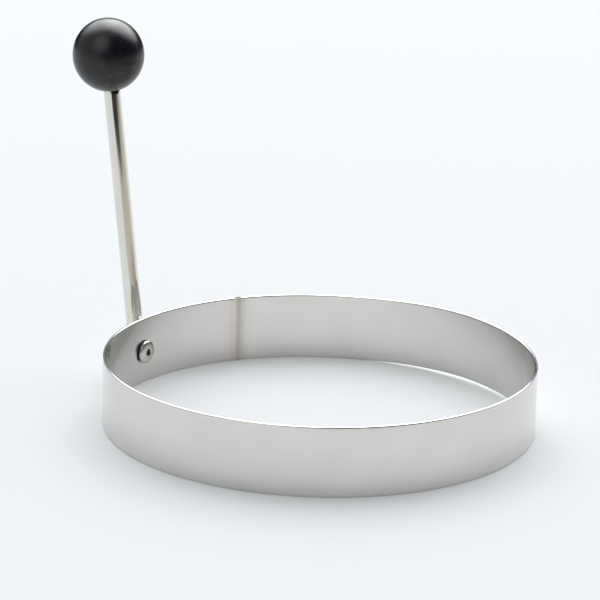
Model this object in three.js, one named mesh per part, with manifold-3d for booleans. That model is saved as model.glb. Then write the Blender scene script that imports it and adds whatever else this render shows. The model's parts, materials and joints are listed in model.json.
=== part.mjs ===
// Egg ring: a rolled and welded steel band with a fold-down rod handle and a ball knob.
// Millimetres, +Z up. The band stands on z = 0 and the handle is on its -X side.

import * as THREE from 'three';
import { mergeVertices } from 'three/addons/utils/BufferGeometryUtils.js';
import Module from 'manifold-3d';

const wasm = await Module();
wasm.setup();

// Driving dimensions

// Band: strip steel rolled to a hoop
const bandDiameter = 152;
const bandHeight = 24.5;
const bandThickness = 1.0;
const bandSegments = 144;

// Butt weld that closes the hoop, at an angle from the handle
const seamAngle = THREE.MathUtils.degToRad(34);
const seamGap = 2.4;
const weldCrown = 0.12;
const weldCrownPoints = 6;

// Pivot: a blind rivet set from inside the hoop, with a washer on each side of the handle's eye
const pivotHeight = 11.7;
const rivetShankDiameter = 4.2;
const rivetHeadDiameter = 8.4;
const rivetHeadHeight = 1.7;
const rivetHeadEdge = 0.35;
const rivetTailDiameter = 6.6;
const rivetTailLength = 2.6;
const rivetBoreDiameter = 2.5;
const mandrelDiameter = 1.9;
const mandrelRecess = 1.1;
const mandrelHeadDiameter = 3.6;
const mandrelHeadLength = 1.6;
const spacerDiameter = 9.0;
const spacerThickness = 1.2;
const backingDiameter = 9.0;
const backingThickness = 0.8;

// Handle: round rod, flattened to an eye at the pivot, leaning outwards, with a stud at the top
const rodDiameter = 6.0;
const eyeWidth = 9.5;
const eyeThickness = 3.0;
const eyeMargin = 0.3;
const eyeFlareLength = 6.0;
const bendTangent = 1.55;
const handleLean = THREE.MathUtils.degToRad(7.45);
const pivotToKnobCentre = 108.85;
const studDiameter = 4.0;
const studLength = 8.0;

// Knob: a moulded ball, a little taller than wide, on a threaded metal bush
const knobDiameter = 25.7;
const knobHeight = 26.45;
const knobFlatDiameter = 7.4;
const rodSocketDepth = 1.5;
const bushDiameter = 8.0;
const bushLength = 10.0;
const bushWaistDepth = 0.6;
const bushWaistLength = 3.0;

// Clearances: seated faces in the pivot's stack, round fits, and the fits along the leaning rod
const seatClearance = 0.2;
const roundClearance = 0.3;
const knobClearance = 0.3;

// Facets of round pieces
const pivotSegments = 32;
const rodSides = 32;
const knobSegments = 40;
const knobArcPoints = 20;
const domePoints = 6;

// Radii that several pieces share
const bandRadius = bandDiameter / 2;
const bandInnerRadius = bandRadius - bandThickness;
const rivetShankRadius = rivetShankDiameter / 2;
const rivetBoreRadius = rivetBoreDiameter / 2;
const pivotHoleRadius = rivetShankRadius + roundClearance;
const rodRadius = rodDiameter / 2;
const studRadius = studDiameter / 2;
const eyeRadius = eyeWidth / 2;
const spacerRadius = spacerDiameter / 2;
const backingRadius = backingDiameter / 2;

// The pivot's stack, as distances from the hoop's axis. The band is curved, so the rivet's flat-backed
// head seats where its rim meets the inner wall.
const rivetHeadRadius = rivetHeadDiameter / 2;
const headSeat = Math.sqrt(bandInnerRadius ** 2 - rivetHeadRadius ** 2) - seatClearance;
const spacerInner = bandRadius + seatClearance;
const spacerOuter = spacerInner + spacerThickness;
const eyeInner = spacerOuter + seatClearance;
const eyeMiddle = eyeInner + eyeThickness / 2;
const eyeOuter = eyeInner + eyeThickness;
const backingInner = eyeOuter + seatClearance;
const backingOuter = backingInner + backingThickness;
const tailSeat = backingOuter + seatClearance;

// The rod above the pivot: its eye stays flat past the washers, then it flares to round as it bends
const flatReach = Math.max(eyeRadius, spacerRadius, backingRadius) + eyeMargin;
const bendHeight = flatReach + bendTangent;
const flareRows = 8;

// Directions of the rod below and above its bend
const up = new THREE.Vector3(0, 0, 1);
const rodLean = new THREE.Vector3(-Math.sin(handleLean), 0, Math.cos(handleLean));

// The knob's places, measured along the rod from the knob's centre
const knobRadius = knobDiameter / 2;
const knobHalfHeight = knobHeight / 2;
const knobFlatRadius = knobFlatDiameter / 2;
const knobFlat = -knobHalfHeight * Math.sqrt(1 - (knobFlatRadius / knobRadius) ** 2);
const rodShoulder = knobFlat + rodSocketDepth;
const bushStart = rodShoulder + knobClearance;
const bushEnd = bushStart + bushLength;
const bushRadius = bushDiameter / 2;

// Materials: one for each piece, so that each can be changed alone
function finish(color, roughness, metalness) {
  return new THREE.MeshStandardMaterial({ color, roughness, metalness });
}

const bandSteel = finish('#cbc9c4', 0.32, 1.0);
const weldSteel = finish('#a89a8b', 0.45, 1.0);
const rivetAluminium = finish('#c6c6c4', 0.38, 1.0);
const mandrelSteel = finish('#77767a', 0.45, 1.0);
const spacerSteel = finish('#b9b8b3', 0.35, 1.0);
const backingSteel = finish('#b9b8b3', 0.35, 1.0);
const rodSteel = finish('#bfb7aa', 0.34, 1.0);
const bushBrass = finish('#b08d4c', 0.4, 1.0);
const knobPhenolic = finish('#171615', 0.3, 0.0);

// A closed geometry as a solid that can be cut and joined
function toSolid(geometry) {
  const bare = geometry.clone();
  bare.deleteAttribute('normal');
  bare.deleteAttribute('uv');
  const merged = mergeVertices(bare);
  const corners = merged.index.array;
  const triangles = [];
  for (let i = 0; i < corners.length; i += 3) {
    const [a, b, c] = corners.slice(i, i + 3);
    if (a !== b && b !== c && c !== a) {
      triangles.push(a, b, c);
    }
  }
  const mesh = new wasm.Mesh({
    numProp: 3,
    vertProperties: Float32Array.from(merged.attributes.position.array),
    triVerts: Uint32Array.from(triangles),
  });
  return new wasm.Manifold(mesh);
}

// A cut or joined solid as a geometry again
function toGeometry(solid) {
  const mesh = solid.getMesh();
  const geometry = new THREE.BufferGeometry();
  geometry.setAttribute('position', new THREE.BufferAttribute(mesh.vertProperties, 3));
  geometry.setIndex(new THREE.BufferAttribute(mesh.triVerts, 1));
  geometry.computeVertexNormals();
  return geometry;
}

function piece(name, geometry, material) {
  const mesh = new THREE.Mesh(geometry, material);
  mesh.name = name;
  return mesh;
}

// A turned piece from its outline, given as [radius, place along the axis] pairs
function turned(outline, segments) {
  const points = outline.map(([radius, along]) => new THREE.Vector2(radius, along));
  return new THREE.LatheGeometry(points, segments);
}

// A washer on the rivet's shank, between two places along its axis
function washer(outerRadius, start, end) {
  const outline = [
    [pivotHoleRadius, start],
    [outerRadius, start],
    [outerRadius, end],
    [pivotHoleRadius, end],
    [pivotHoleRadius, start],
  ];
  return turned(outline, pivotSegments);
}

// The cutter of the rivet's hole: round, from the hoop's axis outwards on the handle's side
function pivotCutter(reach) {
  const cutter = new THREE.CylinderGeometry(pivotHoleRadius, pivotHoleRadius, reach, pivotSegments);
  cutter.rotateZ(Math.PI / 2);
  cutter.translate(-reach / 2, 0, pivotHeight);
  return toSolid(cutter);
}

// The band: a hoop, open at the seam, with the rivet's hole
function bandGeometry() {
  const outline = [
    [bandInnerRadius, 0],
    [bandRadius, 0],
    [bandRadius, bandHeight],
    [bandInnerRadius, bandHeight],
    [bandInnerRadius, 0],
  ];
  const hoop = turned(outline, bandSegments);
  hoop.rotateX(Math.PI / 2);
  const slit = new THREE.BoxGeometry(bandDiameter, seamGap, 2 * bandHeight);
  slit.translate(bandRadius, 0, bandHeight / 2);
  slit.rotateZ(Math.PI - seamAngle);
  const hole = pivotCutter(bandRadius + bandThickness);
  return toGeometry(toSolid(hoop).subtract(toSolid(slit)).subtract(hole));
}

// The weld: a bead in the seam's gap, crowned a little on the inner and outer faces
function weldGeometry() {
  const halfWidth = seamGap / 2 - seatClearance;
  const outline = [];
  for (let i = 0; i <= weldCrownPoints; i += 1) {
    const across = -1 + (2 * i) / weldCrownPoints;
    outline.push(new THREE.Vector2(bandRadius + weldCrown * (1 - across ** 2), across * halfWidth));
  }
  for (let i = 0; i <= weldCrownPoints; i += 1) {
    const across = 1 - (2 * i) / weldCrownPoints;
    outline.push(new THREE.Vector2(bandInnerRadius - weldCrown * (1 - across ** 2), across * halfWidth));
  }
  const bead = new THREE.ExtrudeGeometry(new THREE.Shape(outline), { depth: bandHeight, bevelEnabled: false });
  bead.rotateZ(Math.PI - seamAngle);
  return bead;
}

// The rivet's body: a domed head inside the hoop, a hollow shank, and the tail that setting it swells
function rivetOutline() {
  const outline = [];
  const domeHeight = rivetHeadHeight - rivetHeadEdge;
  const boreAngle = Math.asin(rivetBoreRadius / rivetHeadRadius);
  for (let i = 0; i <= domePoints; i += 1) {
    const angle = boreAngle + ((Math.PI / 2 - boreAngle) * i) / domePoints;
    outline.push([
      rivetHeadRadius * Math.sin(angle),
      headSeat - rivetHeadEdge - domeHeight * Math.cos(angle),
    ]);
  }
  outline.push([rivetHeadRadius, headSeat]);
  outline.push([rivetShankRadius, headSeat]);
  outline.push([rivetShankRadius, tailSeat]);
  const tailBulge = rivetTailDiameter / 2 - rivetShankRadius;
  for (let i = 1; i <= domePoints; i += 1) {
    const angle = (Math.PI * i) / domePoints;
    outline.push([
      rivetShankRadius + tailBulge * Math.sin(angle),
      tailSeat + (rivetTailLength * (1 - Math.cos(angle))) / 2,
    ]);
  }
  outline.push([rivetBoreRadius, tailSeat + rivetTailLength]);
  outline.push(outline[0]);
  return outline;
}

// The mandrel: the broken stem inside the shank and the ball that swelled the tail
function mandrelOutline() {
  const stemRadius = mandrelDiameter / 2;
  const headRadius = mandrelHeadDiameter / 2;
  const stemStart = headSeat - rivetHeadHeight + mandrelRecess;
  const ballStart = tailSeat + rivetTailLength + seatClearance;
  const outline = [
    [0, stemStart],
    [stemRadius, stemStart],
    [stemRadius, ballStart],
  ];
  for (let i = 0; i < domePoints; i += 1) {
    const angle = (Math.PI / 2) * (i / domePoints);
    outline.push([headRadius * Math.cos(angle), ballStart + mandrelHeadLength * Math.sin(angle)]);
  }
  outline.push([0, ballStart + mandrelHeadLength]);
  return outline;
}

// A place on the rod's axis: upright through the eye, a short bend, then leaning outwards.
// The distance along the axis is measured from the pivot, over the bend's corner.
function rodPlace(along) {
  const pastCorner = along - bendHeight;
  const share = THREE.MathUtils.clamp((pastCorner + bendTangent) / (2 * bendTangent), 0, 1);
  const upright = Math.min(pastCorner + bendTangent, 0) - bendTangent * (1 - share) ** 2;
  const leaning = Math.max(pastCorner - bendTangent, 0) + bendTangent * share ** 2;
  const point = new THREE.Vector3(-eyeMiddle, 0, pivotHeight + bendHeight);
  point.addScaledVector(up, upright).addScaledVector(rodLean, leaning);
  const tangent = up.clone().lerp(rodLean, share).normalize();
  return { point, tangent };
}

// The rod's body: each row of a cylinder goes to a station with its half width and half thickness.
// A section is a circle of the half width with two flats at the half thickness.
function loft(stations) {
  const lastRow = stations.length - 1;
  const geometry = new THREE.CylinderGeometry(1, 1, 1, rodSides, lastRow);
  const places = geometry.attributes.position;
  const corner = new THREE.Vector3();
  for (let i = 0; i < places.count; i += 1) {
    corner.fromBufferAttribute(places, i);
    const { along, halfWidth, halfThickness } = stations[Math.round((corner.y + 0.5) * lastRow)];
    const { point, tangent } = rodPlace(along);
    const outward = new THREE.Vector3(-tangent.z, 0, tangent.x);
    const through = THREE.MathUtils.clamp(corner.x * halfWidth, -halfThickness, halfThickness);
    point.addScaledVector(outward, through);
    places.setXYZ(i, point.x, corner.z * halfWidth, point.z);
  }
  return geometry;
}

// Stations up the rod: the flat eye, the flare to round, the shoulder, and the stud for the knob
function rodStations(shoulder, top) {
  const stations = [];
  stations.push({ along: 0, halfWidth: eyeRadius, halfThickness: eyeThickness / 2 });
  for (let i = 0; i <= flareRows; i += 1) {
    const share = THREE.MathUtils.smoothstep(i / flareRows, 0, 1);
    stations.push({
      along: flatReach + (eyeFlareLength * i) / flareRows,
      halfWidth: THREE.MathUtils.lerp(eyeRadius, rodRadius, share),
      halfThickness: THREE.MathUtils.lerp(eyeThickness / 2, rodRadius, share),
    });
  }
  stations.push({ along: shoulder, halfWidth: rodRadius, halfThickness: rodRadius });
  stations.push({ along: shoulder, halfWidth: studRadius, halfThickness: studRadius });
  stations.push({ along: top, halfWidth: studRadius, halfThickness: studRadius });
  return stations;
}

// The eye's round end: a ball of the eye's width with the eye's two flats
function eyeEnd() {
  const outline = [[0, -eyeThickness / 2]];
  for (let i = 0; i <= domePoints; i += 1) {
    const through = eyeThickness * (i / domePoints - 0.5);
    outline.push([Math.sqrt(eyeRadius ** 2 - through ** 2), through]);
  }
  outline.push([0, eyeThickness / 2]);
  const end = turned(outline, knobSegments);
  end.rotateZ(Math.PI / 2);
  end.translate(-eyeMiddle, 0, pivotHeight);
  return end;
}

function rodGeometry() {
  const shoulder = pivotToKnobCentre + rodShoulder;
  const top = shoulder + studLength;
  const shaft = loft(rodStations(shoulder, top));
  const hole = pivotCutter(eyeOuter + eyeThickness);
  return toGeometry(toSolid(shaft).add(toSolid(eyeEnd())).subtract(hole));
}

// The knob's bush: a sleeve with a waist that the moulding grips
function bushOutline() {
  const boreRadius = studRadius + knobClearance;
  const waistStart = (bushStart + bushEnd - bushWaistLength) / 2;
  const waistRadius = bushRadius - bushWaistDepth;
  return [
    [boreRadius, bushStart],
    [bushRadius, bushStart],
    [bushRadius, waistStart],
    [waistRadius, waistStart],
    [waistRadius, waistStart + bushWaistLength],
    [bushRadius, waistStart + bushWaistLength],
    [bushRadius, bushEnd],
    [boreRadius, bushEnd],
    [boreRadius, bushStart],
  ];
}

// The ball: its cavity for the bush, the socket for the rod, the small flat, then the round
function knobOutline() {
  const cavityRadius = bushRadius + knobClearance;
  const socketRadius = rodRadius + knobClearance;
  const cavityEnd = bushEnd + knobClearance;
  const outline = [
    [0, cavityEnd],
    [cavityRadius, cavityEnd],
    [cavityRadius, rodShoulder],
    [socketRadius, rodShoulder],
    [socketRadius, knobFlat],
  ];
  const flatAngle = Math.asin(knobFlatRadius / knobRadius);
  for (let i = 0; i < knobArcPoints; i += 1) {
    const angle = flatAngle + ((Math.PI - flatAngle) * i) / knobArcPoints;
    outline.push([knobRadius * Math.sin(angle), -knobHalfHeight * Math.cos(angle)]);
  }
  outline.push([0, knobHalfHeight]);
  return outline;
}

// Assembly

const hoop = new THREE.Group();
hoop.add(piece('ring_band', bandGeometry(), bandSteel));
hoop.add(piece('seam_weld', weldGeometry(), weldSteel));

// Turned pivot pieces: their axis points outwards through the pivot, on the -X side
const pivot = new THREE.Group();
pivot.position.set(0, 0, pivotHeight);
pivot.rotation.z = Math.PI / 2;
pivot.add(piece('rivet_body', turned(rivetOutline(), pivotSegments), rivetAluminium));
pivot.add(piece('rivet_mandrel', turned(mandrelOutline(), pivotSegments), mandrelSteel));
pivot.add(piece('spacer_washer', washer(spacerRadius, spacerInner, spacerOuter), spacerSteel));
pivot.add(piece('backing_washer', washer(backingRadius, backingInner, backingOuter), backingSteel));

const handle = new THREE.Group();
handle.add(piece('handle_rod', rodGeometry(), rodSteel));

// Turned knob pieces: their axis is the leaning rod's, and their zero is the knob's centre
const leaning = new THREE.Group();
leaning.position.copy(rodPlace(pivotToKnobCentre).point);
leaning.rotation.y = -handleLean;
const knob = new THREE.Group();
knob.rotation.x = Math.PI / 2;
knob.add(piece('knob_bush', turned(bushOutline(), knobSegments), bushBrass));
knob.add(piece('ball_knob', turned(knobOutline(), knobSegments), knobPhenolic));
leaning.add(knob);
handle.add(leaning);

// The origin is under the middle of the whole ring's box
const eggRing = new THREE.Group();
eggRing.add(hoop, pivot, handle);
eggRing.updateMatrixWorld(true);
const extent = new THREE.Box3().setFromObject(eggRing, true);
eggRing.position.x = -(extent.min.x + extent.max.x) / 2;

export default eggRing;
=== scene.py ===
"""Egg ring: the visible surfaces, finishes, light and camera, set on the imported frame.

Sizes are in millimetres in the frame's own axes (+Z up, the handle on the -X side), and go to metres where a
mesh is made. Every piece is a grid of points worked out with numpy from a formula in its docstring.
"""

import json
import logging
import math
from dataclasses import dataclass
from enum import Enum

import bpy
import numpy as np
from mathutils import Matrix, Vector


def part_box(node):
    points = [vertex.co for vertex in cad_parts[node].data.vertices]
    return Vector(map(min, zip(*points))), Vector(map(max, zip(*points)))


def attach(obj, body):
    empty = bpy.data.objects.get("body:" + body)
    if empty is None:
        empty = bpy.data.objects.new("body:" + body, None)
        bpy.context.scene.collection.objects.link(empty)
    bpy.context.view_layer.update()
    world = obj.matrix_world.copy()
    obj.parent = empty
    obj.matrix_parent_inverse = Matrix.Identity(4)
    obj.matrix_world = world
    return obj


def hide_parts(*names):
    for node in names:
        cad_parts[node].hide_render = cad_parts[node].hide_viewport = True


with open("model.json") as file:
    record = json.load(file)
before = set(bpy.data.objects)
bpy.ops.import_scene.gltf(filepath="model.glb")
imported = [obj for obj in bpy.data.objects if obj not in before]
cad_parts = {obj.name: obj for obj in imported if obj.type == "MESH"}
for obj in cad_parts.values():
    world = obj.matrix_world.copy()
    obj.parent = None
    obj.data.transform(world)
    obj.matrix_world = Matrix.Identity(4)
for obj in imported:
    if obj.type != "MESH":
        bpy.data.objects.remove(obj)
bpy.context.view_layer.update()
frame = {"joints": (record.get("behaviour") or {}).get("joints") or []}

LOG = logging.getLogger("egg_ring")
MM = 0.001
PIVOT = np.array(frame["joints"][0]["pos_m"]) / MM
TAU = 2 * math.pi
Links = dict[str | int, bpy.types.NodeSocket]
SAME_PLACE_MM = 1e-9  # points closer than this are one
STRAIGHT = 1e-6  # two sides whose directions add up to less than this are in line
SHARP_DEG = 40.0  # an edge that turns by more than this stays sharp
DRILL_COLUMNS = 64

# A noise pattern mostly stays between these levels, and a metal's patches shift its grain by this share.
NOISE_LOW = 0.3
NOISE_HIGH = 0.7
BLOTCH_SHARE = 0.35

# A mix node's sockets for colours: its two inputs and its output.
MIX_UNDER = 6
MIX_OVER = 7
MIX_RESULT = 2


class Body(Enum):
    """The frame's bodies: what a piece moves with."""

    RING = "ring"
    HANDLE = "handle"


class Pattern(Enum):
    """Where a finish reads its pattern: the piece's place, or its own map along and across the metal."""

    PLACE = "Object"
    MAP = "UV"


def linear(hex_colour: str) -> tuple[float, float, float, float]:
    """Turns an sRGB hex colour into linear light.

    Args:
        hex_colour: a colour such as "#c8c6c1".

    Returns:
        Linear red, green, blue and an alpha of one.
    """
    channels = np.array([int(hex_colour[i:i + 2], 16) for i in (1, 3, 5)]) / 255
    light = np.where(channels <= 0.04045, channels / 12.92, ((channels + 0.055) / 1.055) ** 2.4)
    return (*light.tolist(), 1.0)


def feed(tree: bpy.types.NodeTree, node: bpy.types.Node, links: Links) -> None:
    """Links output sockets to a node's inputs, by the inputs' names or numbers."""
    for name, socket in links.items():
        tree.links.new(socket, node.inputs[name])


def add(
    tree: bpy.types.NodeTree,
    kind: str,
    settings: dict[str | int, object] | None = None,
    links: Links | None = None,
) -> bpy.types.Node:
    """Adds one node, sets its inputs and options, and links what feeds it.

    Args:
        tree: the node tree that takes the node.
        kind: Blender's type name of the node.
        settings: values by input name or number, or by the name of one of the node's own options. Stops are
            a colour ramp's places and hex colours.
        links: output sockets by the input name or number that they feed.

    Returns:
        The new node.
    """
    node = tree.nodes.new(kind)
    for name, value in (settings or {}).items():
        if name == "stops":
            elements = node.color_ramp.elements
            for number, (position, hex_colour) in enumerate(value):
                element = elements[number] if number < len(elements) else elements.new(1.0)
                element.position = position
                element.color = linear(hex_colour)
        elif isinstance(name, int) or name in node.inputs:
            node.inputs[name].default_value = value
        else:
            setattr(node, name, value)
    feed(tree, node, links or {})
    return node


def put(name: str, data: bpy.types.ID) -> bpy.types.Object:
    """Puts a new object into the scene.

    Args:
        name: its name.
        data: its mesh, camera or lamp.

    Returns:
        The object.
    """
    thing = bpy.data.objects.new(name, data)
    bpy.context.scene.collection.objects.link(thing)
    return thing


# Shapes


@dataclass
class Surface:
    """A grid of points, rows by columns, that becomes one closed mesh."""

    points: np.ndarray  # rows by columns by three, in millimetres
    # A pattern coordinate for each row in millimetres, with one more value where rows close.
    row_map: np.ndarray
    column_map: np.ndarray  # the same for each column
    rows_close: bool = False  # the last row joins the first
    columns_close: bool = False  # the last column joins the first

    def mesh(self) -> bpy.types.Mesh:
        """Joins neighbouring points with faces, closes open ends and turns the faces outwards.

        A row whose points all meet is one vertex, a pole. An open end that isn't a pole gets one flat face.

        Returns:
            The mesh, in metres, with its map named wrap.
        """
        rows, columns, _ = self.points.shape
        vertex = np.arange(rows * columns).reshape(rows, columns)
        poles = np.ptp(self.points, axis=1).max(axis=1) < SAME_PLACE_MM
        vertex[poles] = vertex[poles][:, :1]
        row_steps = np.arange(rows if self.rows_close else rows - 1)
        column_steps = np.arange(columns if self.columns_close else columns - 1)
        row, column = (grid.ravel() for grid in np.meshgrid(row_steps, column_steps, indexing="ij"))
        corner_row = np.stack([row, row, row + 1, row + 1], axis=1)
        corner_column = np.stack([column, column + 1, column + 1, column], axis=1)
        quads = vertex[corner_row % rows, corner_column % columns]
        keep = np.ones(quads.shape, bool)
        keep[quads[:, 0] == quads[:, 1], 1] = False
        keep[quads[:, 2] == quads[:, 3], 3] = False
        ends = self._ends(vertex, poles)
        corners = np.concatenate([quads[keep], *ends])
        lengths = np.concatenate([keep.sum(axis=1), np.array([len(end) for end in ends], int)])
        both = np.stack([self.column_map[corner_column], self.row_map[corner_row]], axis=2)[keep]
        maps = np.concatenate([both, np.zeros((len(corners) - len(both), 2))])
        if self._volume(corners, lengths) < 0:
            corners = corners[::-1]
            lengths = lengths[::-1]
            maps = maps[::-1]
        used, flat = np.unique(corners, return_inverse=True)
        places = self.points.reshape(-1, 3)[used]
        mesh = bpy.data.meshes.new("surface")
        mesh.vertices.add(len(places))
        mesh.vertices.foreach_set("co", (places * MM).astype(np.float32).ravel())
        mesh.loops.add(len(flat))
        mesh.loops.foreach_set("vertex_index", flat.astype(np.int32))
        mesh.polygons.add(len(lengths))
        mesh.polygons.foreach_set("loop_start", (np.cumsum(lengths) - lengths).astype(np.int32))
        mesh.update(calc_edges=True)
        layer = mesh.uv_layers.new(name="wrap", do_init=False)
        layer.uv.foreach_set("vector", (maps * MM).astype(np.float32).ravel())
        mesh.shade_smooth()
        mesh.set_sharp_from_angle(angle=math.radians(SHARP_DEG))
        mesh.validate()
        return mesh

    def _ends(self, vertex: np.ndarray, poles: np.ndarray) -> list[np.ndarray]:
        """Gives the flat faces that close the grid's open ends.

        Args:
            vertex: each grid point's vertex number.
            poles: which rows are poles.

        Returns:
            The corner numbers of each end face.
        """
        ends = []
        if not self.rows_close and not poles[0]:
            ends.append(vertex[0][::-1])
        if not self.rows_close and not poles[-1]:
            ends.append(vertex[-1])
        if not self.columns_close:
            ends.extend([vertex[:, 0], vertex[::-1, -1]])
        return ends

    def _volume(self, corners: np.ndarray, lengths: np.ndarray) -> float:
        """Adds up the signed volumes between the origin and each face's fan of triangles.

        Args:
            corners: the corner numbers of all faces, one after another.
            lengths: how many corners each face has.

        Returns:
            Six times the enclosed volume, negative where the faces point inwards.
        """
        places = self.points.reshape(-1, 3)
        starts = np.cumsum(lengths) - lengths
        following = np.roll(corners, -1)
        following[starts + lengths - 1] = corners[starts]
        first = np.repeat(corners[starts], lengths)
        crossed = np.cross(places[corners], places[following])
        return float(np.einsum("ij,ij->", places[first], crossed))


def rounded_outline(corners: list[tuple[float, float, float]], steps: int = 6) -> np.ndarray:
    """Rounds a closed outline's corners: each corner becomes a circular arc that touches both its sides.

    The arc's points are the corner's circle from one tangent point to the other, in equal turns.

    Args:
        corners: across, along and rounding radius of each corner, in order.
        steps: how many steps an arc has.

    Returns:
        The outline's points, one row each.
    """
    at = np.array([corner[:2] for corner in corners], float)
    outline = []
    for number, (_, _, radius) in enumerate(corners):
        corner = at[number]
        to_last = at[number - 1] - corner
        to_next = at[(number + 1) % len(at)] - corner
        back = to_last / np.linalg.norm(to_last)
        ahead = to_next / np.linalg.norm(to_next)
        inwards = back + ahead
        if radius <= 0 or np.linalg.norm(inwards) < STRAIGHT:
            outline.append(corner[None])
            continue
        half = math.acos(np.clip(back @ ahead, -1, 1)) / 2
        middle = corner + inwards / np.linalg.norm(inwards) * radius / math.sin(half)
        from_middle = corner + back * radius / math.tan(half) - middle
        turn = (math.pi - 2 * half) * math.copysign(1, back[0] * ahead[1] - back[1] * ahead[0])
        angle = -np.linspace(0, turn, steps + 1)
        across = np.array([-from_middle[1], from_middle[0]])
        outline.append(middle + np.outer(np.cos(angle), from_middle) + np.outer(np.sin(angle), across))
    return np.concatenate(outline)


def filled(outline: np.ndarray, spacing: float) -> np.ndarray:
    """Adds points along a closed outline's long straight sides, evenly, no further apart than a spacing.

    Args:
        outline: the outline's points.
        spacing: the largest step.

    Returns:
        The outline with the added points.
    """
    side = np.roll(outline, -1, axis=0) - outline
    counts = np.maximum(1, np.ceil(np.linalg.norm(side, axis=1) / spacing)).astype(int)
    first = np.repeat(np.cumsum(counts) - counts, counts)
    share = (np.arange(counts.sum()) - first) / np.repeat(counts, counts)
    return np.repeat(outline, counts, axis=0) + share[:, None] * np.repeat(side, counts, axis=0)


def lengths_along(points: np.ndarray, closed: bool) -> np.ndarray:
    """Measures the running length at each point of an outline, and back to the first where it is closed."""
    path = np.concatenate([points, points[:1]]) if closed else points
    return np.concatenate([[0], np.cumsum(np.linalg.norm(np.diff(path, axis=0), axis=1))])


def turned(outline: np.ndarray, place: Matrix, columns: int, closed: bool) -> Surface:
    """Turns an outline about an axis: at angle t a point (radius, along) is (r cos t, r sin t, along).

    Args:
        outline: radius and place along the axis of each point.
        place: puts the turned piece's own axes, with its axis along Z, into the frame.
        columns: how many steps a turn has.
        closed: the outline closes on itself, as a washer's does, and doesn't end on the axis.

    Returns:
        The surface.
    """
    angle = np.linspace(0, TAU, columns, endpoint=False)
    radius, along = outline[:, :1], outline[:, 1:]
    own = np.stack([radius * np.cos(angle), radius * np.sin(angle), along + 0 * angle], axis=2)
    turn = np.array(place.to_3x3())
    return Surface(
        points=own @ turn.T + np.array(place.translation),
        rows_close=closed,
        columns_close=True,
        row_map=lengths_along(outline, closed),
        column_map=np.linspace(0, TAU * outline[:, 0].max(), columns + 1),
    )


def drilled(mesh: bpy.types.Mesh, start: Vector, end: Vector, radius: float) -> bpy.types.Mesh:
    """Cuts a round hole through a mesh.

    Args:
        mesh: the mesh, in metres.
        start: one end of the drill's axis, in millimetres.
        end: the other end.
        radius: the hole's radius.

    Returns:
        A new mesh with the hole.
    """
    axis = (end - start).to_track_quat("Z", "Y").to_matrix().to_4x4()
    length = (end - start).length
    bit = np.array([[0, 0], [radius, 0], [radius, length], [0, length]])
    drill = turned(bit, Matrix.Translation(start) @ axis, DRILL_COLUMNS, False)
    cutter = put("drill", drill.mesh())
    work = put("drilled", mesh)
    cut = work.modifiers.new("hole", "BOOLEAN")
    cut.operation = "DIFFERENCE"
    cut.solver = "EXACT"
    cut.object = cutter
    result = bpy.data.meshes.new_from_object(work.evaluated_get(bpy.context.evaluated_depsgraph_get()))
    for thing in (cutter, work):
        bpy.data.objects.remove(thing)
    return result


# Finishes


def blank(name: str) -> tuple[bpy.types.Material, bpy.types.NodeTree, bpy.types.Node]:
    """Makes a new material.

    Args:
        name: its name.

    Returns:
        The material, its nodes and its shader.
    """
    made = bpy.data.materials.new(name)
    made.use_nodes = True
    return made, made.node_tree, made.node_tree.nodes["Principled BSDF"]


@dataclass(frozen=True)
class Metal:
    """A bare metal surface with a directional grain and soft dull patches."""

    name: str  # the metal and how its surface was made
    light: str  # its clean colour
    dark: str  # its colour where it is dull or handled
    roughness: float
    spread: float  # how far the grain moves the roughness up and down
    # The grain's size along each pattern axis. It is drawn coarser than the real lines, so that it shows.
    grain_mm: tuple[float, float, float]
    blotch_mm: float  # the size of the soft dull patches
    relief_mm: float  # the grain's depth
    pattern: Pattern = Pattern.MAP  # where the grain lies

    def material(self) -> bpy.types.Material:
        """Makes the finish's material.

        The grain is noise stretched along the metal's working direction, and the patches are noise by the
        piece's own place. Both move the roughness, the patches also the colour, the grain also the relief.

        Returns:
            The material.
        """
        made, tree, shader = blank(self.name)
        shader.inputs["Metallic"].default_value = 1.0
        place = add(tree, "ShaderNodeTexCoord").outputs
        scale = [1 / (size * MM) for size in self.grain_mm]
        drawn = add(tree, "ShaderNodeMapping", {"Scale": scale}, {"Vector": place[self.pattern.value]})
        grain = add(
            tree,
            "ShaderNodeTexNoise",
            {"Scale": 1.0, "Detail": 3.0, "Roughness": 0.6},
            {"Vector": drawn.outputs["Vector"]},
        ).outputs["Fac"]
        blotch = add(
            tree,
            "ShaderNodeTexNoise",
            {"Scale": 1 / (self.blotch_mm * MM), "Detail": 4.0, "Roughness": 0.55},
            {"Vector": place["Object"]},
        ).outputs["Fac"]
        shifted = {"operation": "MULTIPLY_ADD", 1: BLOTCH_SHARE}
        both = add(tree, "ShaderNodeMath", shifted, {0: blotch, 2: grain}).outputs[0]
        levels = {
            "From Min": NOISE_LOW,
            "From Max": NOISE_HIGH + BLOTCH_SHARE,
            "To Min": self.roughness - self.spread,
            "To Max": self.roughness + self.spread,
        }
        rough = add(tree, "ShaderNodeMapRange", levels, {"Value": both}).outputs["Result"]
        depth = {"Strength": 1.0, "Distance": self.relief_mm * MM}
        relief = add(tree, "ShaderNodeBump", depth, {"Height": grain}).outputs["Normal"]
        colour = self.colour(tree, blotch)
        feed(tree, shader, {"Base Color": colour, "Roughness": rough, "Normal": relief})
        return made

    def colour(self, tree: bpy.types.NodeTree, blotch: bpy.types.NodeSocket) -> bpy.types.NodeSocket:
        """Mixes the clean and dull colours by the patches.

        Args:
            tree: the material's nodes.
            blotch: the patches.

        Returns:
            The colour.
        """
        stops = ((NOISE_LOW, self.dark), (NOISE_HIGH, self.light))
        return add(tree, "ShaderNodeValToRGB", {"stops": stops}, {"Fac": blotch}).outputs["Color"]


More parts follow.
